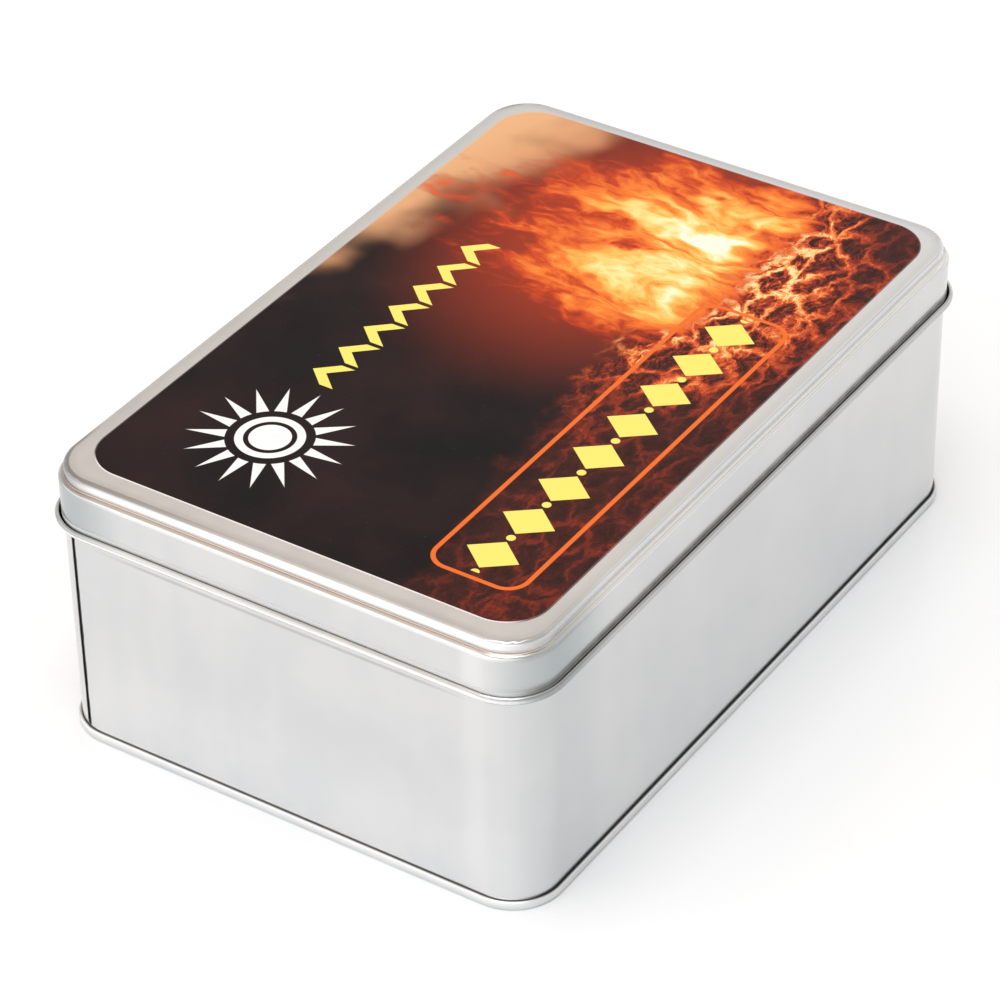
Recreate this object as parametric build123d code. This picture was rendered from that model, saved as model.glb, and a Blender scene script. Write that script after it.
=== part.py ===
from build123d import *
import math
import os

os.makedirs("parts", exist_ok=True)

# A rectangular tinplate box with a slip-on stepped lid and a paper label, in millimetres.
# The origin is on the ground under the middle of the box. X runs along the long side,
# Y across it and Z up. The label reads from the front, which faces -Y.

# Driving dimensions
body_length = 190.0
body_width = 126.4
body_corner_radius = 11.5
panel_height = 71.4  # top of the lid's flat panel above the ground

# Sheet and folds
body_sheet = 0.25
base_sheet = 0.25
lid_sheet = 0.25
fold_gap = 0.05  # room between the layers of a pressed fold
bend_step = 30.0  # a bend carried round the box is laid as short runs, turned by this angle at most
bend_run = 0.6  # and at most about this long
cut_overrun = 1.0

# Double seam that joins the base to the body
seam_height = 2.2
foot_bend_share = 0.33  # of the way from the inner to the outer wall of the seam
base_recess = 3.2  # underside of the base panel above the ground
base_bend_radius = 0.6

# Rolled edge at the body's mouth
mouth_curl_diameter = 1.8
mouth_curl_turn = 300.0

# Lid
side_clearance = 0.3  # between the skirt and the body's wall
rest_clearance = 0.2  # between the lid's ledge and the body's rolled edge
lid_depth = 14.3
step_width = 1.3
step_depth = 2.8
panel_edge_radius = 1.0
step_root_radius = 0.3
skirt_edge_radius = 1.0
hem_diameter = 1.7
hem_turn = 270.0

# Label
label_thickness = 0.1
label_end_margin = 5.95  # from the skirt's face, with the label in the middle
label_side_margin = 5.6
label_corner_radius = 10.5
label_shift = 1.15  # the label is stuck on a little nearer to the +X end

# Locked side seam, which lies where the -X end turns into its +Y corner
lock_angle = 18.0  # how far round the corner its groove lies
lock_leg = 4.5  # how far the hooked edges reach behind the wall
lock_slit = 0.1
lock_bend_radius = 0.3
lock_notch = 0.3  # the hooks stop this much short of the opening's ends
lock_floor_clearance = 0.5
lock_rim_clearance = 0.5
foot_slit = 0.35  # the open butt of the strip's ends below the lock


def folded_strip(start, heading, moves, sheet):
    """Gives the section of a sheet whose mid line starts at a point with a heading in degrees.
    A move is the length of a straight run, or a bend's mid-line radius and turn in degrees. The
    bend is laid as short runs that touch its arc."""
    point, corners = Vector(*start), [Vector(*start)]
    for move in moves:
        if not isinstance(move, tuple):
            point += Vector(move, 0).rotate(Axis.Z, heading)
            continue
        radius, turn = move
        turned = math.radians(abs(turn))
        count = max(math.ceil(abs(turn) / bend_step), math.ceil(radius * turned / bend_run))
        half_run = Vector(radius * math.tan(turned / count / 2), 0)
        for _ in range(count):
            point += half_run.rotate(Axis.Z, heading)
            corners.append(point)
            heading += turn / count
            point += half_run.rotate(Axis.Z, heading)
    return trace(Polyline(*corners, point), line_width=sheet)


def curved_strip(start, direction, moves, sheet):
    """Gives such a section with true arcs. Its direction is a vector."""
    mid_line = []
    point, heading = Vector(*start), Vector(*direction)
    for move in moves:
        if isinstance(move, tuple):
            piece = JernArc(start=point, tangent=heading, radius=move[0], arc_size=move[1])
        else:
            piece = Line(point, point + heading.normalized() * move)
        mid_line.append(piece)
        point, heading = piece @ 1, piece % 1
    return trace(Curve() + mid_line, line_width=sheet)


def outline(outset):
    """Gives the rounded rectangle that lies a distance outside the body's outer face."""
    return RectangleRounded(
        body_length + 2 * outset, body_width + 2 * outset, body_corner_radius + outset
    )


def carry_round(section):
    """Carries a section round the box. Its X is the distance outside the body's outer face, its Y the height."""
    side_x, side_y = body_length / 2, body_width / 2
    centre_x, centre_y = side_x - body_corner_radius, side_y - body_corner_radius
    end_wall = extrude(Plane((side_x, 0, 0), x_dir=(1, 0, 0), z_dir=(0, -1, 0)) * section, -centre_y)
    long_wall = extrude(Plane((0, side_y, 0), x_dir=(0, 1, 0), z_dir=(1, 0, 0)) * section, centre_x)
    at_corner = Plane((side_x, centre_y, 0), x_dir=(1, 0, 0), z_dir=(0, -1, 0)) * section
    corner = revolve(at_corner, Axis((centre_x, centre_y, 0), (0, 0, 1)), 90)
    quarter = end_wall + corner + long_wall
    half = quarter + mirror(quarter, Plane.YZ)
    return half + mirror(half, Plane.XZ)


def plate(outset, lowest, thickness):
    """Gives a flat plate of the outline at an outset from the body."""
    return extrude(Pos(0, 0, lowest) * outline(outset), thickness)


# Headings in a section
outward = 0
down = -90

# Where the layers of the double seam lie, as mid lines measured out from the body's outer face
wall_layer = -body_sheet / 2
chuck_layer = -body_sheet - fold_gap - base_sheet / 2
cover_hook_layer = fold_gap + base_sheet / 2
body_hook_layer = cover_hook_layer + base_sheet / 2 + fold_gap + body_sheet / 2
seam_wall_layer = body_hook_layer + body_sheet / 2 + fold_gap + base_sheet / 2
body_hook_radius = (body_hook_layer - wall_layer) / 2
cover_hook_radius = (seam_wall_layer - cover_hook_layer) / 2
body_hook_centre = base_sheet + fold_gap + body_sheet / 2 + body_hook_radius
cover_hook_centre = seam_height - base_sheet / 2 - cover_hook_radius

# Where the lid's ledge rests on the body's rolled edge
panel_mid = panel_height - lid_sheet / 2
ledge_mid = panel_mid - step_depth
mouth_height = ledge_mid - lid_sheet / 2 - rest_clearance


def wrapped_wall():
    """The strip wrapped round the box: hooked under at the foot and rolled inwards at the mouth."""
    hook_end = cover_hook_centre - fold_gap
    curl_centre = mouth_height - mouth_curl_diameter / 2
    moves = [
        hook_end - body_hook_centre,
        (body_hook_radius, -180),
        curl_centre - body_hook_centre,
        ((mouth_curl_diameter - body_sheet) / 2, mouth_curl_turn),
    ]
    return carry_round(folded_strip((body_hook_layer, hook_end), down, moves, body_sheet))


def corner_point(radius, angle):
    """A point in plan on a circle about the seamed corner's centre, at an angle from the -X end."""
    centre_x, centre_y = body_corner_radius - body_length / 2, body_width / 2 - body_corner_radius
    turn = math.radians(angle)
    return centre_x - radius * math.cos(turn), centre_y + radius * math.sin(turn)


def heading_on(angle, way):
    """The direction of travel on such a circle: way is 1 towards +Y and -1 back towards the end wall."""
    turn = math.radians(angle)
    return way * math.sin(turn), way * math.cos(turn)


# The four layers of the locked seam, from the outside in, and the groove between its two folds
layer_pitch = body_sheet + fold_gap
layer_radius = [body_corner_radius - body_sheet / 2 - layer_pitch * place for place in range(4)]
fold_reach = layer_pitch + body_sheet / 2
jog_reach = lock_bend_radius + body_sheet / 2
groove_width = fold_reach + lock_slit + jog_reach
groove_angle = math.degrees(groove_width / (body_corner_radius - fold_reach))
lock_bottom = base_recess + base_sheet + lock_floor_clearance
lock_top = mouth_height - mouth_curl_diameter - lock_rim_clearance


def outer_hook():
    """The end wall's edge, folded back behind itself round the corner's first degrees."""
    moves = [
        (layer_pitch, -180),
        (layer_radius[2], lock_angle),
        lock_leg - math.radians(lock_angle) * layer_radius[2],
    ]
    start = corner_point(layer_radius[0], lock_angle)
    return curved_strip(start, heading_on(lock_angle, 1), moves, body_sheet)


def inner_hook():
    """The corner's edge, set in behind the outer hook, folded round it and tucked inside it."""
    far_angle = lock_angle + groove_angle
    bend_orbit = layer_radius[3] + lock_bend_radius
    jog_turn = math.degrees(math.asin(2 * lock_bend_radius / bend_orbit))
    jog_run = layer_radius[0] - lock_bend_radius - bend_orbit * math.cos(math.radians(jog_turn))
    outer_leg_end = lock_leg - math.radians(lock_angle) * layer_radius[2]
    straight = outer_leg_end + fold_gap
    tuck_angle = lock_angle - math.degrees(fold_gap / layer_radius[1])
    moves = [
        (lock_bend_radius, 90),
        jog_run,
        (lock_bend_radius, jog_turn - 90),
        (layer_radius[3], far_angle - jog_turn),
        straight,
        (layer_pitch, -180),
        straight,
        (layer_radius[1], -tuck_angle),
    ]
    start = corner_point(layer_radius[0], far_angle)
    return curved_strip(start, heading_on(far_angle, -1), moves, body_sheet)


def wall_opening(first_angle, angle, bottom, top):
    """A piece cut out of the corner's wall over a range of angle and height."""
    moves = [(layer_radius[0], -angle)]
    start = corner_point(layer_radius[0], first_angle)
    section = curved_strip(start, heading_on(first_angle, 1), moves, body_sheet + 2 * cut_overrun)
    return extrude(Pos(0, 0, bottom) * section, top - bottom)


def body_shell():
    """The wrapped wall with its two ends hooked together in a locked seam."""
    slit_angle = math.degrees(foot_slit / layer_radius[0])
    slit_start = lock_angle + (groove_angle - slit_angle) / 2
    hooks_bottom, hooks_top = lock_bottom + lock_notch, lock_top - lock_notch
    shell = wrapped_wall()
    shell -= wall_opening(lock_angle, groove_angle, lock_bottom, lock_top)
    shell -= wall_opening(slit_start, slit_angle, seam_height, lock_bottom)
    for section in (outer_hook(), inner_hook()):
        shell += extrude(Pos(0, 0, hooks_bottom) * section, hooks_top - hooks_bottom)
    return shell


def base_panel():
    """The recessed base with its edge turned round the body's hook to make the double seam."""
    seam_span = seam_wall_layer - chuck_layer
    foot_radius = foot_bend_share * seam_span
    foot_centre = base_sheet / 2 + foot_radius
    panel_layer = base_recess + base_sheet / 2
    rim_start = chuck_layer - 2 * base_bend_radius
    hook_end = body_hook_centre + fold_gap
    moves = [
        base_bend_radius,
        (base_bend_radius, -90),
        panel_layer - base_bend_radius - foot_centre,
        (foot_radius, 90),
        seam_span - 2 * foot_radius,
        (foot_radius, 90),
        cover_hook_centre - foot_centre,
        (cover_hook_radius, 180),
        cover_hook_centre - hook_end,
    ]
    rim = carry_round(folded_strip((rim_start, panel_layer), outward, moves, base_sheet))
    return rim + plate(rim_start, base_recess, base_sheet)


def lid_shell():
    """The pressed lid: flat panel, rounded step, narrow ledge, skirt and a hem rolled outwards."""
    skirt_layer = side_clearance + lid_sheet / 2
    riser_layer = skirt_layer - step_width
    edge_radius = panel_edge_radius - lid_sheet / 2
    root_radius = step_root_radius + lid_sheet / 2
    shoulder_radius = skirt_edge_radius - lid_sheet / 2
    hem_radius = (hem_diameter - lid_sheet) / 2
    hem_centre = panel_height - lid_depth + hem_diameter / 2
    rim_start = riser_layer - 2 * edge_radius
    moves = [
        edge_radius,
        (edge_radius, -90),
        step_depth - edge_radius - root_radius,
        (root_radius, 90),
        step_width - root_radius - shoulder_radius,
        (shoulder_radius, -90),
        ledge_mid - shoulder_radius - hem_centre,
        (hem_radius, hem_turn),
    ]
    rim = carry_round(folded_strip((rim_start, panel_mid), outward, moves, lid_sheet))
    return rim + plate(rim_start, panel_height - lid_sheet, lid_sheet)


def lid_label():
    """The paper label stuck flat on the lid's panel."""
    skirt_face = side_clearance + lid_sheet
    length = body_length + 2 * (skirt_face - label_end_margin)
    width = body_width + 2 * (skirt_face - label_side_margin)
    blank = RectangleRounded(length, width, label_corner_radius)
    return extrude(Pos(label_shift, 0, panel_height) * blank, label_thickness)


for make in (body_shell, base_panel, lid_shell, lid_label):
    export_step(make(), f"parts/{make.__name__}.step")
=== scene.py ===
import math

import bpy
from mathutils import Matrix, Vector


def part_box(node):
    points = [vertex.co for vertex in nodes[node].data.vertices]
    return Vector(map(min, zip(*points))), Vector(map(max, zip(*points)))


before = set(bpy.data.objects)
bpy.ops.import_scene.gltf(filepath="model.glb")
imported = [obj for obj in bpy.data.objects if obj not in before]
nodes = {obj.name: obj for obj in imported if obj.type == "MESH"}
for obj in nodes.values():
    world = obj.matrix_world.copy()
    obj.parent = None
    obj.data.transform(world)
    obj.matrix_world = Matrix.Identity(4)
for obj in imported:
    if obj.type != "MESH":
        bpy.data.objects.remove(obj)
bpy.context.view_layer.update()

# A rectangular tinplate box with a slip-on lid and a printed label, in metres.
# The box stands on z = 0, its long side along X, and the label is read from the -Y side.
# The pieces come from model.glb as they are: here they get their materials, and their bends are
# shaded as curves.

MM = 0.001

# Camera, fitted to the box's edges in a square picture
CAMERA_AZIMUTH = math.radians(-56.3098)
CAMERA_ELEVATION = math.radians(36.0172)
CAMERA_ROLL = math.radians(-0.9703)
CAMERA_DISTANCE = 967.1122 * MM
CAMERA_RIGHT = -5.2853 * MM
CAMERA_UP = 23.1561 * MM
SENSOR_WIDTH = 36.0
LENS = 147.214

# Floor and key light
FLOOR_REACH = 6.0
FLOOR_EDGES = 96
FLOOR_COLOUR = (0.885, 0.9, 0.92, 1.0)
FLOOR_ROUGHNESS = 0.25
FLOOR_SPECULAR = 0.4
KEY_PLACE = (-0.2, 0.0, 1.5)
KEY_TARGET = (0.0, 0.0, 0.0)
KEY_SIZE = (0.8, 0.8)
KEY_POWER = 5.6

# Sky: its tones, the directions that they lie in, and the limits between which they fade
SKY_LOW = (1.12, 1.12, 1.12, 1.0)
SKY_HIGH = (0.8, 0.8, 0.8, 1.0)
SKY_WARM = (0.925, 0.83, 0.74, 1.0)
SKY_FAR = (1.3, 1.29, 1.26, 1.0)
SKY_LEFT = (1.94, 1.94, 1.94, 1.0)
SKY_LEFT_GROUND = (1.15, 1.15, 1.15, 1.0)
SKY_RIGHT = (1.15, 1.15, 1.15, 1.0)
SKY_BEHIND = (0.4, 0.4, 0.4, 1.0)
LEFT_LEAN = (0.9, 0.25)  # how far the left lies towards -X and +Y
LEFT_FADE = (0.15, 0.5)
LEFT_RISE = (0.0, 0.22)
RIGHT_FADE = (0.35, 0.9)
WARM_TOWARDS = (0.15, 0.45, 0.88)
WARM_FADE = (0.55, 0.8)
FAR_FADE = (0.63, 0.79)
BEHIND_TOWARDS = (0.83, 0.56, 0.0)
BEHIND_FADE = (0.82, 0.95)
BEHIND_RISE = (0.02, 0.2)
HIGH_START = (0.36, 0.28)  # where the low sky starts to give way to the high one, and on the left
HIGH_REACH = (0.16, 0.7)  # how slowly it does so, and on the left

# Tinplate: its own tones, and the painted shade, highlights and reflections mixed into its folds
PLATE_DULL = (0.643, 0.649, 0.656, 1.0)
PLATE_CLEAR = (0.686, 0.686, 0.687, 1.0)
# Painted shade: black for the side seam's groove, and for the creases and inside the hem's roll
PITCH = (0.006, 0.006, 0.005, 1.0)
CREASE_SHADE = (0.03, 0.03, 0.026, 1.0)
SHADOW = (0.25, 0.24, 0.23, 1.0)
# Painted highlight, and a painted cool shade for the left end's corners
HIGHLIGHT = (0.98, 0.975, 0.96, 1.0)
COOL_SHADE = (0.4, 0.44, 0.446, 1.0)
# Painted reflections on the lid's ledge: warm on the ends, pale along the sides
WARM_REFLECTION = (0.71, 0.63, 0.575, 1.0)
LEDGE_REFLECTION = (0.79, 0.78, 0.75, 1.0)
# Painted shade of the crease over the hem, laid as a matte layer: dark, in its slit, and pale
DARK_CREASE_SHADE = (0.118, 0.115, 0.107, 1.0)
SLIT_SHADE = (0.55, 0.54, 0.52, 1.0)
PALE_CREASE_SHADE = (0.72, 0.72, 0.72, 1.0)

# Shading of the bends: points nearer than this are one, and edges sharper than this stay edges
WELD_REACH = 0.001 * MM
SHARP_ANGLE = math.radians(38)


def make_camera():
    """Sets the camera where the fit puts it, with no shift."""
    azimuth, elevation = CAMERA_AZIMUTH, CAMERA_ELEVATION
    back = Vector((
        math.sin(azimuth) * math.cos(elevation),
        -math.cos(azimuth) * math.cos(elevation),
        math.sin(elevation),
    ))
    level = Vector((math.cos(azimuth), math.sin(azimuth), 0))
    upright = back.cross(level)
    right = math.cos(CAMERA_ROLL) * level + math.sin(CAMERA_ROLL) * upright
    up = back.cross(right)
    data = bpy.data.cameras.new("camera")
    data.sensor_width = SENSOR_WIDTH
    data.lens = LENS
    camera = bpy.data.objects.new("camera", data)
    place = back * CAMERA_DISTANCE + right * CAMERA_RIGHT + up * CAMERA_UP
    turn = Matrix((right, up, back)).transposed().to_4x4()
    camera.matrix_world = Matrix.Translation(place) @ turn
    bpy.context.collection.objects.link(camera)
    bpy.context.scene.camera = camera


def plug(socket, value):
    """Links a field into a socket, or sets a plain number or vector on it."""
    if isinstance(value, Field):
        value.tree.links.new(value.socket, socket)
    else:
        socket.default_value = value


class Field:
    """A value, vector or colour in a node tree. Arithmetic on it adds nodes to the tree."""

    def __init__(self, tree, socket):
        self.tree, self.socket = tree, socket

    def math(self, operation, *others):
        node = self.tree.nodes.new("ShaderNodeMath")
        node.operation = operation
        for socket, value in zip(node.inputs, (self, *others)):
            plug(socket, value)
        return Field(self.tree, node.outputs[0])

    def __add__(self, other):
        return self.math("ADD", other)

    def __sub__(self, other):
        return self.math("SUBTRACT", other)

    def __mul__(self, other):
        return self.math("MULTIPLY", other)

    def __truediv__(self, other):
        return self.math("DIVIDE", other)

    def size(self):
        """Gives a value without its sign."""
        return self.math("ABSOLUTE")

    def vector(self, operation, other=None, entry=1, out="Vector"):
        """Does vector maths with a second value, which goes into the given entry."""
        node = self.tree.nodes.new("ShaderNodeVectorMath")
        node.operation = operation
        plug(node.inputs[0], self)
        if other is not None:
            plug(node.inputs[entry], other)
        return Field(self.tree, node.outputs[out])

    def scaled(self, factor):
        return self.vector("SCALE", factor, entry="Scale")

    def stretched(self, factors):
        return self.vector("MULTIPLY", factors)

    def seen_from(self, spot):
        """Gives a place relative to a spot."""
        return self.vector("SUBTRACT", spot)

    def dot(self, other):
        return self.vector("DOT_PRODUCT", other, out="Value")

    def length(self):
        return self.vector("LENGTH", out="Value")

    def split(self):
        node = self.tree.nodes.new("ShaderNodeSeparateXYZ")
        plug(node.inputs[0], self)
        return [Field(self.tree, out) for out in node.outputs]

    def ramp(self, low, high, to_low=0.0, to_high=1.0, kind="SMOOTHSTEP"):
        """Maps low..high to to_low..to_high, smoothly unless told otherwise."""
        node = self.tree.nodes.new("ShaderNodeMapRange")
        node.interpolation_type = kind
        for socket, value in zip(node.inputs, (self, low, high, to_low, to_high)):
            plug(socket, value)
        return Field(self.tree, node.outputs[0])

    def fall(self, low, high, kind="SMOOTHSTEP"):
        """Gives 1 up to the low limit, fading to 0 at the high one."""
        return self.ramp(low, high, 1.0, 0.0, kind)

    def band(self, first, second, third, fourth):
        """Gives 1 from the second limit to the third, fading to 0 at the first and the fourth."""
        return self.ramp(first, second) * self.fall(third, fourth)

    def noise(self, scale, detail, roughness, distortion=0.0, kind="FBM", out="Fac"):
        node = self.tree.nodes.new("ShaderNodeTexNoise")
        node.noise_type = kind
        plug(node.inputs["Vector"], self)
        node.inputs["Scale"].default_value = scale
        node.inputs["Detail"].default_value = detail
        node.inputs["Roughness"].default_value = roughness
        node.inputs["Distortion"].default_value = distortion
        return Field(self.tree, node.outputs[out])

    def drift(self, scale, detail, roughness, reach):
        """Gives a random shift of a place, up to half the reach each way."""
        colour = self.noise(scale, detail, roughness, out="Color")
        return colour.vector("SUBTRACT", (0.5, 0.5, 0.5)).scaled(reach)

    def cell_edges(self, scale):
        """Gives the distance to the nearest edge between random cells."""
        node = self.tree.nodes.new("ShaderNodeTexVoronoi")
        node.feature = "DISTANCE_TO_EDGE"
        plug(node.inputs["Vector"], self)
        node.inputs["Scale"].default_value = scale
        return Field(self.tree, node.outputs["Distance"])

    def mix(self, low, high):
        """Blends two colours by this field."""
        node = self.tree.nodes.new("ShaderNodeMix")
        node.data_type = "RGBA"
        sockets = [s for s in node.inputs if s.type == "RGBA"]
        plug(node.inputs[0], self)
        plug(sockets[0], low)
        plug(sockets[1], high)
        return Field(self.tree, next(s for s in node.outputs if s.type == "RGBA"))

    def gradient(self, stops):
        """Colours this field by stops of place and colour."""
        node = self.tree.nodes.new("ShaderNodeValToRGB")
        plug(node.inputs[0], self)
        points = node.color_ramp.elements
        while len(points) < len(stops):
            points.new(1.0)
        for point, (at, colour) in zip(points, stops):
            point.position, point.color = at, colour
        return Field(self.tree, node.outputs["Color"])


def ink(*tone):
    """Gives the linear colour of an sRGB tone in 0..255."""
    linear = [((c / 255 + 0.055) / 1.055) ** 2.4 if c > 10 else c / 255 / 12.92 for c in tone]
    return (*linear, 1.0)


# Printed picture. Its places are in millimetres from the label's middle. A noise is given by its
# scale, detail, roughness and, if it has any, distortion, and a drift by the first three and its
# reach. A fade is given by its limits, and by what it gives at them if that isn't 0 and 1.
NIGHT = ink(24, 18, 19), ink(44, 27, 27)
DUSK = ink(196, 120, 84), ink(232, 178, 130)
GLOW = ink(176, 62, 36)
COAL_TONES = (
    (0.0, ink(34, 22, 22)), (0.16, ink(74, 32, 26)), (0.34, ink(138, 48, 30)),
    (0.56, ink(214, 88, 44)), (0.8, ink(250, 160, 84)), (1.0, ink(255, 226, 160)),
)
FIRE_TONES = (
    (0.0, ink(60, 16, 14)), (0.2, ink(120, 30, 16)), (0.36, ink(214, 74, 30)),
    (0.52, ink(246, 132, 52)), (0.68, ink(253, 190, 92)), (0.84, ink(255, 228, 150)),
    (1.0, ink(255, 250, 226)),
)
ORANGE, YELLOW, WHITE = ink(238, 112, 44), ink(250, 232, 116), ink(255, 250, 246)

CLOUD_NOISE, CLOUD_FADE = (0.035, 3.0, 0.5), (0.35, 0.75)
HAZE_NOISE, HAZE_REACH = (0.05, 2.0, 0.4), 44.0
DUSK_LEAN, DUSK_FADE = 0.36, (74.0, 96.0)
DUSK_SLOPE, DUSK_TONES = 0.01, (-0.2, 1.3)

LUMP_DRIFT, LUMP_STRETCH = (0.16, 3.0, 0.5, 8.0), (0.8, 1.5, 1.0)
LUMP_SCALE, LUMP_GAP, LUMP_GLOW = 0.1, (0.0, 0.2), 0.8
CHIP_SCALE, CHIP_GAP = 0.36, (0.0, 0.1, 0.3, 0.0)
ASH_NOISE, ASH_FADE, ASH_GLOW, ASH_TONE = (0.4, 5.0, 0.65), (0.35, 0.75), 0.55, 0.12
BED_HEART, BED_STRETCH, BED_HEAT = (46.0, -22.0, 0.0), (0.55, 1.0, 0.0), (4.0, 46.0, 1.0, 0.16)
EMBER_NOISE, EMBER_HEAT = (0.05, 3.0, 0.5), (0.25, 0.65, 0.4, 1.15)
BED_NOISE, BED_WAVES, BED_SLOPE, BED_TOP = (0.06, 3.0, 0.5), 26.0, 0.12, (-8.0, 3.0)

FLAME_FOOT, FLAME_HEIGHT = -34.0, 92.0
FLAME_MIDDLE, FLAME_REACH = 52.0, (14.0, 60.0)
FLAME_SWAY, SWAY_STRETCH = (0.05, 3.0, 0.55, 44.0), (1.0, 0.55, 1.0)
TONGUE_NOISE, TONGUE_STRETCH, TONGUE_SHARE = (0.085, 5.0, 0.58, 0.6), (1.0, 0.34, 1.0), 0.5
LICK_NOISE, LICK_STRETCH, LICK_SHARE = (0.14, 4.0, 0.6), (1.0, 0.4, 1.0), 0.7
FLAME_FADE, FADE_SHARE, FADE_REST = (0.0, 1.1), 0.95, 0.28  # with height, and what stays
FLAME_LIFT, FLAME_HEAT = (-0.12, 0.2), 1.5
FIRE_FADE = (0.2, 0.46)
HALO_HEART, HALO_STRETCH, HALO_FADE = (52.0, 4.0, 0.0), (0.9, 1.2, 0.0), (14.0, 70.0, 0.85, 0.0)

# Printed ornaments, in millimetres
INK_EDGE = 0.1  # half the width of the soft edge of a shape
RAY_TAPER = 0.16
DISC_GAP = 2.2
RING_GAP, RING_HALF = 4.6, 0.5
CHEVRON_SLOPE, CHEVRON_BREAK = 1.1, (0.5, 0.7)
DIAMOND_SLOPE = 1.25
DOT_EDGE = (0.9, 1.3)


def backdrop(place, u, v):
    """A dark ground with a warm, blurred evening sky towards the top right."""
    ground = place.noise(*CLOUD_NOISE).ramp(*CLOUD_FADE).mix(*NIGHT)
    dusk = (v + u * DUSK_LEAN + place.noise(*HAZE_NOISE) * HAZE_REACH).ramp(*DUSK_FADE)
    sky = (u * DUSK_SLOPE + v * DUSK_SLOPE).ramp(*DUSK_TONES).mix(*DUSK)
    return dusk.mix(ground, sky)


def coals(place):
    """A bed of coals: dark lumps with ash on them and a glow in the gaps between them."""
    wavy = place.vector("ADD", place.drift(*LUMP_DRIFT)).stretched(LUMP_STRETCH)
    ash = wavy.noise(*ASH_NOISE)
    heat = place.seen_from(BED_HEART).stretched(BED_STRETCH).length().ramp(*BED_HEAT)
    heat = heat * place.noise(*EMBER_NOISE).ramp(*EMBER_HEAT)
    lumps, chips = wavy.cell_edges(LUMP_SCALE), wavy.cell_edges(CHIP_SCALE)
    crack = lumps.fall(*LUMP_GAP) * LUMP_GLOW + chips.ramp(*CHIP_GAP)
    glow = (crack + ash.ramp(*ASH_FADE) * ASH_GLOW) * heat
    return (glow + ash * ASH_TONE).gradient(COAL_TONES)


def flames(place, u, v):
    """Gives the heat of tongues of flame that rise and thin out above the coals."""
    height = (v - FLAME_FOOT) / FLAME_HEIGHT
    bent = place.vector("ADD", place.stretched(SWAY_STRETCH).drift(*FLAME_SWAY))
    tongues = bent.stretched(TONGUE_STRETCH).noise(*TONGUE_NOISE, kind="RIDGED_MULTIFRACTAL")
    lick = bent.stretched(LICK_STRETCH).noise(*LICK_NOISE)
    reach = (u - FLAME_MIDDLE).size().fall(*FLAME_REACH)
    fade = height.fall(*FLAME_FADE) * FADE_SHARE + FADE_REST
    body = (tongues * TONGUE_SHARE + lick * LICK_SHARE) * reach * fade
    return body * height.ramp(*FLAME_LIFT) * FLAME_HEAT


def picture(place):
    """The printed picture: an evening fire over coals, with ornaments on top."""
    u, v, _ = place.split()
    scene = backdrop(place, u, v)
    halo = place.seen_from(HALO_HEART).stretched(HALO_STRETCH).length()
    scene = halo.ramp(*HALO_FADE).mix(scene, GLOW)
    slope = (u - BED_HEART[0]).size() * BED_SLOPE
    bed = (v + place.noise(*BED_NOISE) * BED_WAVES + slope).fall(*BED_TOP)
    scene = bed.mix(scene, coals(place))
    heat = flames(place, u, v)
    scene = heat.ramp(*FIRE_FADE).mix(scene, heat.gradient(FIRE_TONES))
    for mask, colour in ornaments(u, v):
        scene = mask.mix(scene, colour)
    return scene


def sun(u, v, middle, count, inner, outer):
    """Gives the mask of a plain disc with tapered rays round it."""
    du, dv = u - middle[0], v - middle[1]
    radius = (du * du + dv * dv).math("SQRT")
    off_ray = dv.math("ARCTAN2", du).math("PINGPONG", math.pi / count) * radius
    ray = ((radius * -1.0 + outer) * RAY_TAPER - off_ray).ramp(-INK_EDGE, INK_EDGE)
    ray = ray * radius.ramp(inner, inner + 2 * INK_EDGE)
    disc = radius.fall(inner - DISC_GAP, inner - DISC_GAP + 2 * INK_EDGE)
    ring = (radius - (inner - RING_GAP)).size().ramp(RING_HALF, RING_HALF + 2 * INK_EDGE)
    return ray.math("MAXIMUM", disc * ring)


def span(u, low, high):
    """Gives 1 between two limits, else 0."""
    return u.band(low - INK_EDGE, low + INK_EDGE, high - INK_EDGE, high + INK_EDGE)


def within(distance, limit):
    """Gives 1 where a distance is under a limit, else 0."""
    return distance.fall(limit - INK_EDGE, limit + INK_EDGE)


def chevrons(u, v, left, middle, count, pitch, stroke):
    """Gives the mask of a row of bold chevrons that point up."""
    wave = (u - left).math("PINGPONG", pitch / 2)
    line = (v - middle - wave * CHEVRON_SLOPE + pitch * CHEVRON_SLOPE / 4).size()
    strokes = within(line, stroke / 2) * wave.ramp(*CHEVRON_BREAK)
    return strokes * span(u, left, left + count * pitch)


def diamonds(u, v, left, middle, count, pitch, half):
    """Gives the mask of a row of diamonds with a dot between each two."""
    across = (u - left).math("PINGPONG", pitch / 2)
    up = (v - middle).size()
    diamond = within(across * DIAMOND_SLOPE + up, half)
    beside = across * -1.0 + pitch / 2
    dot = (beside * beside + up * up).fall(*DOT_EDGE)
    return diamond.math("MAXIMUM", dot) * span(u, left - pitch / 2, left + (count - 0.5) * pitch)


def from_core(u, v, half, corner):
    """Gives the distance from a rounded rectangle's core. On its corners it is their radius."""
    du = (u.size() - (half[0] - corner)).math("MAXIMUM", 0.0)
    dv = (v.size() - (half[1] - corner)).math("MAXIMUM", 0.0)
    return (du * du + dv * dv).math("SQRT")


def keyline(u, v, middle, half, corner, width):
    """Gives the mask of a thin line round a rounded rectangle."""
    off_line = (from_core(u - middle[0], v - middle[1], half, corner) - corner).size()
    return within(off_line, width / 2)


def ornaments(u, v):
    """Gives the masks of the printed ornaments and their inks, the lowest first."""
    frame_line = keyline(u, v, middle=(-21.0, -38.0), half=(58.0, 11.5), corner=5.0, width=1.1)
    row = diamonds(u, v, left=-70.0, middle=-38.0, count=8, pitch=14.0, half=6.6)
    zigzag = chevrons(u, v, left=-38.0, middle=30.0, count=7, pitch=10.0, stroke=3.6)
    badge = sun(u, v, middle=(-60.0, 27.0), count=16, inner=10.0, outer=19.0)
    return (frame_line, ORANGE), (row, YELLOW), (zigzag, YELLOW), (badge, WHITE)


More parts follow.
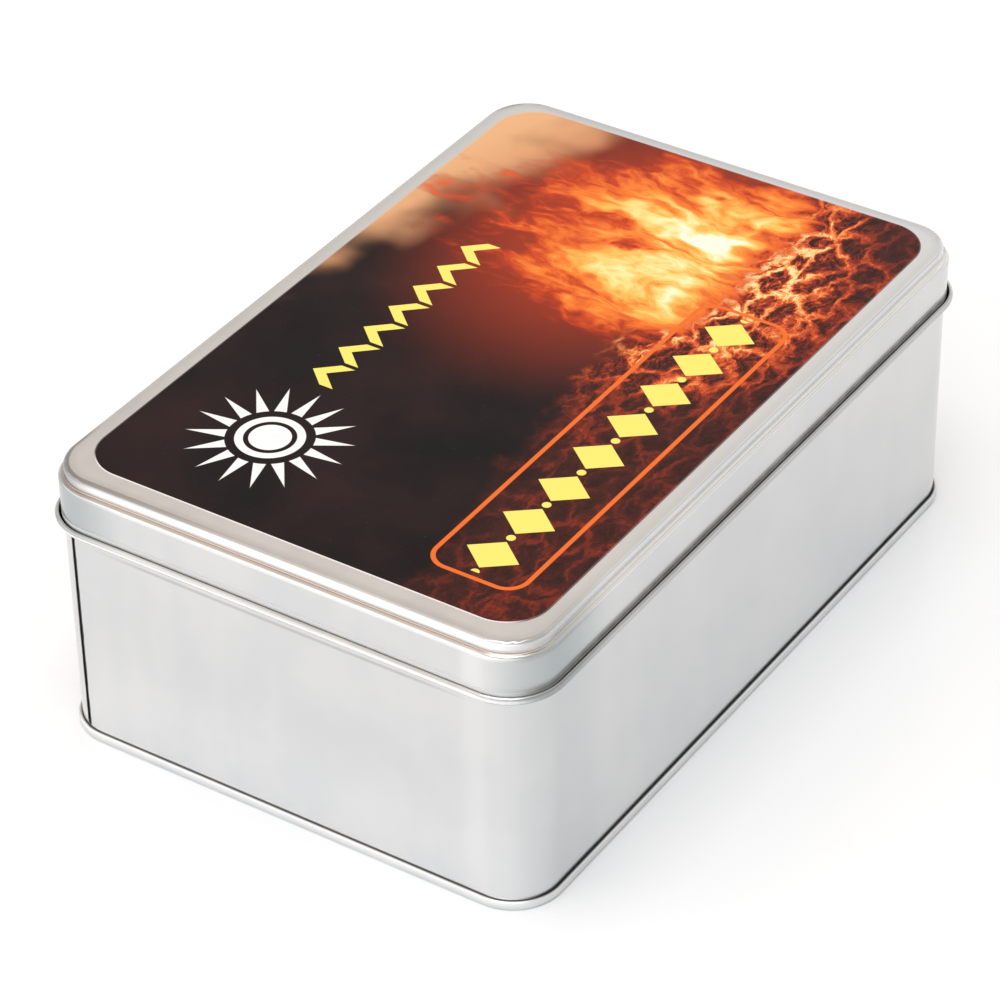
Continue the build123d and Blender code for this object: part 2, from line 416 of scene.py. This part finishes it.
def new_material(name):
    """Gives a material, its surface shader and the place on the piece in millimetres."""
    material = bpy.data.materials.new(name)
    material.use_nodes = True
    tree = material.node_tree
    shader = tree.nodes["Principled BSDF"]
    place = tree.nodes.new("ShaderNodeTexCoord")
    return material, shader, Field(tree, place.outputs["Object"]).scaled(1 / MM)


# The body's outline in plan, in millimetres, from which the places of all marks are measured
BODY_HALF = (95.0, 63.2)
BODY_CORNER = 11.5
NO_REACH = 0.001  # keeps the share of an end from dividing by zero
SPOT_FADE = 1.5


def around_body(place):
    """Gives a place's distance out from the body's outer face in plan, its height, and its share
    of an end, which is 1 along the two ends, 0 along the long sides, and between them round the
    corners."""
    x, y, z = place.split()
    over_x = x.size() - (BODY_HALF[0] - BODY_CORNER)
    over_y = y.size() - (BODY_HALF[1] - BODY_CORNER)
    out_x, out_y = over_x.math("MAXIMUM", 0.0), over_y.math("MAXIMUM", 0.0)
    inwards = over_x.math("MAXIMUM", over_y).math("MINIMUM", 0.0)
    reach = (out_x * out_x + out_y * out_y).math("SQRT")
    return reach + inwards - BODY_CORNER, z, out_x / reach.math("MAXIMUM", NO_REACH)


def near_spot(out, height, spot, reach, stretch=1.0):
    """Gives 1 within a reach of a spot in the section, fading to 0 half as far again."""
    across, up = out - spot[0], (height - spot[1]) / stretch
    return (across * across + up * up).math("SQRT").fall(reach, reach * SPOT_FADE)


# Marks, in millimetres. A spot in the section is a distance out and a height. Two limits are a
# fade, and four a band that fades at both its sides, or a fade and what it gives at its limits.
# A wrap is a fade round the corners, between two shares of an end. A mark's share is how much of
# its tone is mixed in.
ENDS = (0.3, 1.0)

# Hem. Its painted highlight and painted shade lie between tilts about its centre, in radians.
HEM_CENTRE, HEM_INSIDE, HEM_TOP = (1.15, 57.95), 0.6, (58.9, 59.1)
HEM_HIGHLIGHT, HEM_HIGHLIGHT_WRAP = (1.15, 1.35, 1.9, 2.3), (0.4, 1.0, 0.0, 0.9)
HEM_DIMMED, HEM_DIMMED_WRAP = (0.6, 0.8, 1.05, 1.25), (0.4, 1.0, 0.0, 0.38)
HEM_SHADED, HEM_SHADED_SHARE = (0.2, 0.5), 0.33
HEM_CREST = (0.75, 0.85, 1.25, 1.65)

# Painted shade in the crease between the hem and the skirt, laid as a matte layer: dark on the
# sides, and pale on the ends, where it darkens towards the left corner
SKIRT_FACE = (0.38, 0.48, 0.6, 0.75)
END_SHADE_TOP, END_SHADE_FADE = (59.4, 59.8), (58.4, 59.4)
SIDE_SHADE_TOP, SLIT_TOP = (59.0, 61.3), (58.4, 59.1)
WAVER_NOISE, WAVER_REACH = (0.16, 3.0, 0.6), (0.3, 0.7, -8.0, 8.0)
ALONG_END, NEAR_LEFT_CORNER = (-50.0, 45.0, 1.0, 0.55), (44.0, 56.0, 1.0, 0.42)
PATCH_NOISE, PATCH_SHARE = (0.35, 4.0, 0.6), (0.3, 0.65, 0.82, 1.0)
FILM_CREST, FILM_BOTTOM = (0.75, 0.85, 1.3, 1.6), (57.9, 58.1)
FILM_TOP_WRAP, FILM_TOP_FADE = (0.3, 1.0, 59.7, 59.4), (0.0, 0.4)


def mark_hem(place, colour):
    """Painted highlight and painted shade on the hem, painted shade inside its roll, and painted
    shade in the crease over it: dark along the sides and pale on the ends."""
    out, height, end = around_body(place)
    side = end.fall(*ENDS)
    roll = height.fall(*HEM_TOP)
    tilt = (out - HEM_CENTRE[0]).math("ARCTAN2", height - HEM_CENTRE[1])
    # Painted highlight on the hem's face along the ends, and painted shade on it all round
    highlight = tilt.band(*HEM_HIGHLIGHT) * roll
    colour = (highlight * end.ramp(*HEM_HIGHLIGHT_WRAP)).mix(colour, HIGHLIGHT)
    dimmed = tilt.band(*HEM_DIMMED) * roll
    colour = (dimmed * end.ramp(*HEM_DIMMED_WRAP)).mix(colour, SHADOW)
    colour = (tilt.ramp(*HEM_SHADED) * roll * side * HEM_SHADED_SHARE).mix(colour, SHADOW)
    # Painted shade in the crease on the ends: pale, darker low down and towards the left corner
    along = place.split()[1] + place.noise(*WAVER_NOISE).ramp(*WAVER_REACH)
    deep = along.ramp(*ALONG_END, kind="LINEAR") * along.ramp(*NEAR_LEFT_CORNER)
    thin = out.band(*SKIRT_FACE) * height.fall(*END_SHADE_TOP)
    pale = height.ramp(*END_SHADE_FADE).mix(deep, PALE_CREASE_SHADE)
    colour = (thin * end.ramp(*ENDS)).mix(colour, pale)
    # Painted shade in the crease and on the hem's crest along the sides, dark and patchy
    patchy = place.noise(*PATCH_NOISE).ramp(*PATCH_SHARE)
    thick = out.band(*SKIRT_FACE) * height.fall(*SIDE_SHADE_TOP)
    crest = out.band(*HEM_CREST) * roll
    dark = height.ramp(*SLIT_TOP).mix(SLIT_SHADE, DARK_CREASE_SHADE)
    colour = ((thick + crest) * side * patchy).mix(colour, dark)
    # Painted shade inside the hem's roll
    return near_spot(out, height, HEM_CENTRE, HEM_INSIDE).mix(colour, CREASE_SHADE)


def matte_shade_over_hem(place):
    """Gives 1 where a matte layer of painted shade takes the place of the metal: low on the skirt
    all round, and on the hem's crest along the sides."""
    out, height, end = around_body(place)
    over_film = height - end.ramp(*FILM_TOP_WRAP)
    skirt = out.band(*SKIRT_FACE) * over_film.fall(*FILM_TOP_FADE)
    crest = out.band(*FILM_CREST) * height.fall(*HEM_TOP) * end.fall(*ENDS)
    return (skirt + crest) * height.ramp(*FILM_BOTTOM)


# Step: painted light and shade on the ledge over the skirt, the riser and the panel's rim
STEP_INSIDE = (-2.4, -2.2)
RISER_FACE, RISER_BAND = (-0.5, -0.3), (69.3, 69.8, 70.7, 71.1)
RISER_SHADE, RISER_SHADE_WRAP = (69.3, 69.6, 70.1, 70.5), (0.0, 0.7, 0.34, 0.0)
RISER_ROOT, ROOT_REACH, ROOT_WRAP = (-0.55, 68.8), 0.28, (0.3, 1.0, 0.0, 0.32)
LEDGE_REACH, LEDGE_BOTTOM, LEDGE_TOP = (0.1, 0.35), (66.0, 68.0), (69.2, 69.5)
SHOULDER_OUT, SHOULDER_UP = (-0.4, -0.15, 0.3, 0.45), (67.7, 67.9, 69.0, 69.2)
SHOULDER_WRAP = (0.3, 1.0, 0.0, 0.25)
GLINT_OUT, GLINT_UP, GLINT_WRAP = (0.2, 0.45), (67.2, 67.9, 68.2, 68.6), (0.5, 1.0, 0.0, 0.6)
RIM_OUT, RIM_UP, RIM_WRAP = (-4.4, -1.9, -1.75, -1.45), (71.1, 71.3), (0.0, 1.0, 0.1, 0.2)

# Step: painted shade on the crest of the left end's riser, and on the corner at the upper left
CREST_X, CREST_Y = (-88.0, -83.0), (-5.0, 50.0)
CREST_OUT, CREST_UP, CREST_SHARE = (-2.3, -1.9), (70.6, 71.0), 0.65
STEP_CORNER_X, STEP_CORNER_Y = (-82.0, -72.0), (46.0, 58.0)
STEP_CORNER_OUT, STEP_CORNER_UP, STEP_CORNER_SHARE = (-2.3, -1.6), (67.0, 69.0), 0.75


def mark_step(place, colour):
    """The lid's pressed step: painted highlights on the riser and shoulder along the ends, painted
    reflections on the ledge, warm on the ends, and painted shade on its folds and rim."""
    out, height, end = around_body(place)
    riser = height.band(*RISER_BAND) * out.fall(*RISER_FACE) * out.ramp(*STEP_INSIDE)
    # Painted highlight on the riser along the ends
    colour = (riser * end).mix(colour, HIGHLIGHT)
    ledge = out.fall(*LEDGE_REACH) * out.ramp(*STEP_INSIDE) * height.fall(*LEDGE_TOP)
    # Painted reflection on the ledge: warm on the ends, pale along the sides
    ledge_tone = end.mix(LEDGE_REFLECTION, WARM_REFLECTION)
    colour = (ledge * height.ramp(*LEDGE_BOTTOM)).mix(colour, ledge_tone)
    # Painted shade in the riser's root, on the shoulder and on the riser along the sides
    root = near_spot(out, height, RISER_ROOT, ROOT_REACH)
    colour = (root * end.ramp(*ROOT_WRAP)).mix(colour, SHADOW)
    shoulder = out.band(*SHOULDER_OUT) * height.band(*SHOULDER_UP)
    colour = (shoulder * end.ramp(*SHOULDER_WRAP)).mix(colour, SHADOW)
    riser_shade = height.band(*RISER_SHADE) * out.fall(*RISER_FACE) * out.ramp(*STEP_INSIDE)
    colour = (riser_shade * end.ramp(*RISER_SHADE_WRAP)).mix(colour, SHADOW)
    # Painted highlight on the shoulder along the ends, and painted shade on the panel's edge
    glint = height.band(*GLINT_UP) * out.ramp(*GLINT_OUT)
    colour = (glint * end.ramp(*GLINT_WRAP)).mix(colour, HIGHLIGHT)
    rim = out.band(*RIM_OUT) * height.ramp(*RIM_UP)
    colour = (rim * end.ramp(*RIM_WRAP)).mix(colour, SHADOW)
    # Painted shade on the left end's riser crest and on the corner at the upper left
    x, y, _ = place.split()
    crest = height.ramp(*CREST_UP) * out.ramp(*CREST_OUT) * y.ramp(*CREST_Y) * x.fall(*CREST_X)
    colour = (crest * CREST_SHARE).mix(colour, SHADOW)
    corner = y.ramp(*STEP_CORNER_Y) * x.fall(*STEP_CORNER_X)
    corner = corner * height.ramp(*STEP_CORNER_UP) * out.ramp(*STEP_CORNER_OUT)
    return (corner * STEP_CORNER_SHARE).mix(colour, SHADOW)


# Left end's corners: where the drawn skirt is, and the painted cool shade and highlight on it
SKIRT_OUT, SKIRT_UP = (0.2, 0.35), (50.0, 52.0)
NEAR_X, NEAR_Y = (-84.0, -60.0), (-64.0, -54.0)
NEAR_SHARE, NEAR_SKIRT_SHARE = 0.25, 0.75  # everywhere, and added on the skirt
LEFT_X, LEFT_Y = (-84.0, -70.0), (38.0, 56.0, 0.0, 0.85)
BRIGHT_MIDDLE, BRIGHT_HALF = -50.0, (1.0, 4.0)
BRIGHT_X, BRIGHT_OUT = (-90.0, -84.0), (-0.5, -0.1)
BRIGHT_SHARE, BRIGHT_SKIRT_SHARE = 0.1, 0.17
LEDGE_UP, LEDGE_SHARE = (67.0, 68.0, 69.0, 69.4), 0.4
NEAR_STEP_X, NEAR_STEP_OUT, NEAR_STEP_UP = (-88.5, -83.5, 0.5, 0.25), (-2.3, -1.9), (68.9, 69.3)


def mark_corners(place, colour):
    """Painted cool shade in the corner at the label's lower left, with a painted highlight band
    beside it, and painted shade on the skirt at the upper left and on the near step. The marks
    are strong on the drawn skirt and faint elsewhere."""
    x, y, height = place.split()
    out, _, _ = around_body(place)
    skirt = out.ramp(*SKIRT_OUT) * height.ramp(*SKIRT_UP)
    near = y.fall(*NEAR_Y, kind="LINEAR") * x.fall(*NEAR_X)
    left = y.ramp(*LEFT_Y) * x.fall(*LEFT_X)
    cool = near * (skirt * NEAR_SKIRT_SHARE + NEAR_SHARE) + left * skirt
    # Painted cool shade, and a painted highlight band beside it
    colour = cool.mix(colour, COOL_SHADE)
    bright = (y - BRIGHT_MIDDLE).size().fall(*BRIGHT_HALF) * x.fall(*BRIGHT_X)
    bright = bright * (skirt * BRIGHT_SKIRT_SHARE + BRIGHT_SHARE) * out.ramp(*BRIGHT_OUT)
    colour = bright.mix(colour, HIGHLIGHT)
    # Painted shade on the ledge and step in the near corner
    ledge = height.band(*LEDGE_UP) * out.ramp(*STEP_INSIDE) * LEDGE_SHARE
    step = height.ramp(*NEAR_STEP_UP) * out.ramp(*NEAR_STEP_OUT) * x.ramp(*NEAR_STEP_X)
    return (near * ledge.math("MAXIMUM", step)).mix(colour, SHADOW)


# Foot: the seamed rim that the box stands on, and the groove over it along the sides and the ends
FOOT_GLINT, FOOT_FACE, FOOT_GLINT_WRAP = (0.8, 1.6, 2.2, 2.5), (0.5, 0.7), (0.4, 1.0, 0.0, 0.5)
UNDER_UP, UNDER_OUT, UNDER_WRAP = (0.2, 0.7), (0.4, 0.6), (0.0, 0.8, 0.85, 0.0)
SIDE_GROOVE, SIDE_GROOVE_REACH, SIDE_GROOVE_WRAP = (0.34, 1.8), 0.36, (0.3, 1.0, 0.86, 0.0)
END_GROOVE, END_GROOVE_REACH, END_GROOVE_WRAP = (0.0, 1.88), 0.3, (0.3, 1.0, 0.0, 0.43)
END_GROOVE_STRETCH = 1.2


def mark_foot(place, colour):
    """Painted shade in the groove over the foot and under the sides of the rim, and a painted
    highlight on the rim along the ends."""
    out, height, end = around_body(place)
    # Painted highlight on the rim along the ends, and painted shade under the rim along the sides
    glint = height.band(*FOOT_GLINT) * out.ramp(*FOOT_FACE)
    colour = (glint * end.ramp(*FOOT_GLINT_WRAP)).mix(colour, HIGHLIGHT)
    under = height.fall(*UNDER_UP) * out.ramp(*UNDER_OUT)
    colour = (under * end.ramp(*UNDER_WRAP)).mix(colour, SHADOW)
    # Painted shade in the groove over the foot
    on_side = near_spot(out, height, SIDE_GROOVE, SIDE_GROOVE_REACH)
    on_end = near_spot(out, height, END_GROOVE, END_GROOVE_REACH, END_GROOVE_STRETCH)
    on_side, on_end = on_side * end.ramp(*SIDE_GROOVE_WRAP), on_end * end.ramp(*END_GROOVE_WRAP)
    return on_side.math("MAXIMUM", on_end).mix(colour, CREASE_SHADE)


# Side seam, on the curve of the left corner
SEAM_CENTRE = (-83.5, 51.7)
SEAM_ANGLE, SEAM_HALF_ANGLE = math.radians(20.4), math.radians(3.45)
SEAM_NOISE, SEAM_WIDTH = (0.12, 4.0, 0.6), (0.3, 0.7, 0.85, 1.25)
SEAM_EDGE, SEAM_BOTTOM, SEAM_DEPTH = (0.85, 1.15), (2.4, 3.0), (-2.6, -0.6)
UPWARDS = (0.0, 0.0, 1.0)


def mark_seam(place, colour):
    """Painted shade in the side seam's groove: a black line of uneven width."""
    x, y, height = place.split()
    out, _, _ = around_body(place)
    width = place.stretched(UPWARDS).noise(*SEAM_NOISE).ramp(*SEAM_WIDTH)
    angle = (y - SEAM_CENTRE[1]).math("ARCTAN2", x * -1.0 + SEAM_CENTRE[0])
    off_seam = (angle - SEAM_ANGLE).size() / SEAM_HALF_ANGLE
    seam = (off_seam / width).fall(*SEAM_EDGE) * height.ramp(*SEAM_BOTTOM)
    # Painted shade of the seam's groove
    return (seam * out.ramp(*SEAM_DEPTH)).mix(colour, PITCH)


# Faint darker line under the hem, which bows up towards the corners
HEM_LINE_HEIGHT, HEM_LINE_BOW, HEM_LINE_WIDTH = 54.3, 0.5, (0.15, 0.6)
HEM_LINE_ALONG, HEM_LINE_OUT = (0.5, 0.84, 0.36, 0.0), (-0.15, -0.05)


def mark_line_under_hem(place, colour):
    """A faint darker line across the ends, below the hem."""
    out, height, end = around_body(place)
    along = place.split()[1] / BODY_HALF[1]
    line = (height - HEM_LINE_HEIGHT - along * along * HEM_LINE_BOW).size().fall(*HEM_LINE_WIDTH)
    dimmed = line * along.size().ramp(*HEM_LINE_ALONG) * out.ramp(*HEM_LINE_OUT)
    return (dimmed * end).mix(colour, SHADOW)


# Plain metal: smudges, streaks from wiping, ends and foot painted brighter, and its roughness
SMUDGE_NOISE, SMUDGE_SHARE = (0.045, 5.0, 0.62), 0.7
WIPE_STRETCH, WIPE_NOISE, WIPE_SHARE = (0.16, 0.16, 0.012), (1.0, 3.0, 0.5), 0.3
PLATE_FADE, PLATE_ROUGHNESS = (0.38, 0.62), (0.3, 0.7, 0.2, 0.27)
OFF_PANEL, END_TONE, FOOT_TONE = (-9.0, -5.0), (0.0, 1.0, 0.975, 1.015), (2.0, 36.0, 1.07, 1.0)
FILM_ROUGHNESS = 0.35


def tinplate(name, marks, shade_film=None):
    """Bright rolled tinplate with smudges and streaks, and painted light and shade in its folds."""
    material, shader, place = new_material(name)
    smudge = place.noise(*SMUDGE_NOISE)
    wipe = place.stretched(WIPE_STRETCH).noise(*WIPE_NOISE)
    shader.inputs["Metallic"].default_value = 1.0
    tone = smudge * SMUDGE_SHARE + wipe * WIPE_SHARE
    colour = tone.ramp(*PLATE_FADE).mix(PLATE_DULL, PLATE_CLEAR)
    out, height, end = around_body(place)
    # Painted light: the ends a little brighter than the sides, and the metal brighter near the foot
    ends = (end * out.ramp(*OFF_PANEL)).ramp(*END_TONE, kind="LINEAR")
    colour = colour.scaled(ends * height.ramp(*FOOT_TONE))
    for mark in marks:
        colour = mark(place, colour)
    plug(shader.inputs["Base Color"], colour)
    rough = tone.ramp(*PLATE_ROUGHNESS)
    # Where the matte layer of painted shade lies, it takes the place of the metal
    if shade_film:
        cover = shade_film(place)
        rough = rough + cover * FILM_ROUGHNESS
        plug(shader.inputs["Metallic"], cover * -1.0 + 1.0)
    plug(shader.inputs["Roughness"], rough)
    return material


# Label, in millimetres: its paper, which shows white at the edge of its left end and faintly
# round the rest, and its print
LABEL_CORNER = 10.5
PAPER, PAPER_EDGE, PAPER_FADE = ink(246, 236, 234), (0.35, 0.2), (1.5, 5.0, 1.0, 0.12)
FLECK, FLECK_NOISE, FLECK_SHARE = ink(196, 186, 180), (1.6, 4.0, 0.7), (0.64, 0.74, 0.0, 0.12)
SHEEN_NOISE, SHEEN_ROUGHNESS = (0.05, 4.0, 0.6), (0.3, 0.7, 0.3, 0.42)
PRINT_DEPTH = (0.88, 0.88, 0.88)
PRINT_SPECULAR = 0.08
GRAIN_NOISE, GRAIN_DEPTH = (2.2, 3.0, 0.6), 0.01 * MM
FLAT = (1.0, 1.0, 0.0)


def bump(shader, height, distance):
    """Raises the surface by a height field."""
    node = height.tree.nodes.new("ShaderNodeBump")
    node.inputs["Distance"].default_value = distance
    plug(node.inputs["Height"], height)
    plug(shader.inputs["Normal"], Field(height.tree, node.outputs[0]))


def label_print():
    """The printed label: a picture with flecks of wear, and the white edge of the cut paper."""
    material, shader, place = new_material("label_print")
    low, high = [Vector(corner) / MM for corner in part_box("lid_label")]
    middle, half = (low + high) / 2, (high - low) / 2
    spot = place.seen_from(tuple(middle)).stretched(FLAT)
    u, v, _ = spot.split()
    colour = picture(spot)
    edge = from_core(u, v, half, LABEL_CORNER).ramp(*[LABEL_CORNER - inset for inset in PAPER_EDGE])
    colour = spot.noise(*FLECK_NOISE).ramp(*FLECK_SHARE).mix(colour, FLECK)
    colour = (edge * (u + half.x).ramp(*PAPER_FADE)).mix(colour, PAPER)
    plug(shader.inputs["Base Color"], colour.stretched(PRINT_DEPTH))
    plug(shader.inputs["Roughness"], spot.noise(*SHEEN_NOISE).ramp(*SHEEN_ROUGHNESS))
    shader.inputs["Specular IOR Level"].default_value = PRINT_SPECULAR
    bump(shader, spot.noise(*GRAIN_NOISE), GRAIN_DEPTH)
    return material


def dress(node, material):
    nodes[node].data.materials.clear()
    nodes[node].data.materials.append(material)


def smooth_bends(node):
    """Shades the short runs of a bend as one curve, and keeps flat faces flat. No point moves."""
    tree = bpy.data.node_groups.new(node + "_bends", "GeometryNodeTree")
    for way in ("INPUT", "OUTPUT"):
        tree.interface.new_socket("Geometry", in_out=way, socket_type="NodeSocketGeometry")
    start, bare, weld, faces, edges, end = [tree.nodes.new(kind) for kind in (
        "NodeGroupInput", "GeometryNodeRemoveAttribute", "GeometryNodeMergeByDistance",
        "GeometryNodeSetShadeSmooth", "GeometryNodeSetShadeSmooth", "NodeGroupOutput",
    )]
    bare.inputs["Name"].default_value = "custom_normal"
    weld.inputs["Distance"].default_value = WELD_REACH
    edges.domain = "EDGE"
    turn = tree.nodes.new("GeometryNodeInputMeshEdgeAngle")
    gentle = Field(tree, turn.outputs["Unsigned Angle"]).math("LESS_THAN", SHARP_ANGLE)
    plug(edges.inputs["Shade Smooth"], gentle)
    chain = (start, bare, weld, faces, edges, end)
    for before, after in zip(chain, chain[1:]):
        tree.links.new(before.outputs[0], after.inputs[0])
    nodes[node].modifiers.new("bends", "NODES").node_group = tree
    nodes[node].modifiers.new("flats", "WEIGHTED_NORMAL").keep_sharp = True


def make_floor():
    """A pale floor that fades into the sky."""
    mesh = bpy.data.meshes.new("floor")
    angles = [2 * math.pi * k / FLOOR_EDGES for k in range(FLOOR_EDGES)]
    ring = [(FLOOR_REACH * math.cos(a), FLOOR_REACH * math.sin(a), 0) for a in angles]
    mesh.from_pydata(ring, [], [range(FLOOR_EDGES)])
    floor = bpy.data.objects.new("floor", mesh)
    bpy.context.collection.objects.link(floor)
    material, shader, _ = new_material("floor")
    shader.inputs["Base Color"].default_value = FLOOR_COLOUR
    shader.inputs["Roughness"].default_value = FLOOR_ROUGHNESS
    shader.inputs["Specular IOR Level"].default_value = FLOOR_SPECULAR
    mesh.materials.append(material)


def make_sky():
    """Soft light from all round: white and low on the left, greyer on the right and overhead,
    warm at the back."""
    world = bpy.data.worlds.new("studio")
    bpy.context.scene.world = world
    world.use_nodes = True
    tree = world.node_tree
    coord = tree.nodes.new("ShaderNodeTexCoord")
    towards = Field(tree, coord.outputs["Generated"])
    x, y, z = towards.split()
    left = (y * LEFT_LEAN[1] - x * LEFT_LEAN[0]).ramp(*LEFT_FADE)
    right = (x - y).ramp(*RIGHT_FADE)
    warm = towards.dot(WARM_TOWARDS).ramp(*WARM_FADE)
    high = warm.mix(SKY_HIGH, x.ramp(*FAR_FADE).mix(SKY_WARM, SKY_FAR))
    left_tone = z.ramp(*LEFT_RISE).mix(SKY_LEFT_GROUND, SKY_LEFT)
    low = left.mix(right.mix(SKY_LOW, SKY_RIGHT), left_tone)
    behind = towards.dot(BEHIND_TOWARDS).ramp(*BEHIND_FADE) * z.ramp(*BEHIND_RISE)
    low = behind.mix(low, SKY_BEHIND)
    start, reach = left.ramp(0.0, 1.0, *HIGH_START), left.ramp(0.0, 1.0, *HIGH_REACH)
    colour = ((z - start) / reach).ramp(0.0, 1.0).mix(low, high)
    plug(tree.nodes["Background"].inputs["Color"], colour)


def area_light(name, place, target, size, power):
    data = bpy.data.lights.new(name, "AREA")
    data.shape = "RECTANGLE"
    data.size, data.size_y = size
    data.energy = power
    light = bpy.data.objects.new(name, data)
    light.location = place
    light.rotation_euler = (Vector(target) - Vector(place)).to_track_quat("-Z", "Y").to_euler()
    bpy.context.collection.objects.link(light)


bpy.context.scene.view_settings.view_transform = "Standard"
make_camera()
make_floor()
make_sky()
area_light("key", KEY_PLACE, KEY_TARGET, KEY_SIZE, KEY_POWER)
for node, marks, shade_film in (
    ("body_shell", (mark_corners, mark_foot, mark_seam, mark_line_under_hem), None),
    ("base_panel", (mark_foot,), None),
    ("lid_shell", (mark_step, mark_corners, mark_hem), matte_shade_over_hem),
):
    dress(node, tinplate(node + "_tinplate", marks, shade_film))
    smooth_bends(node)
dress("lid_label", label_print())
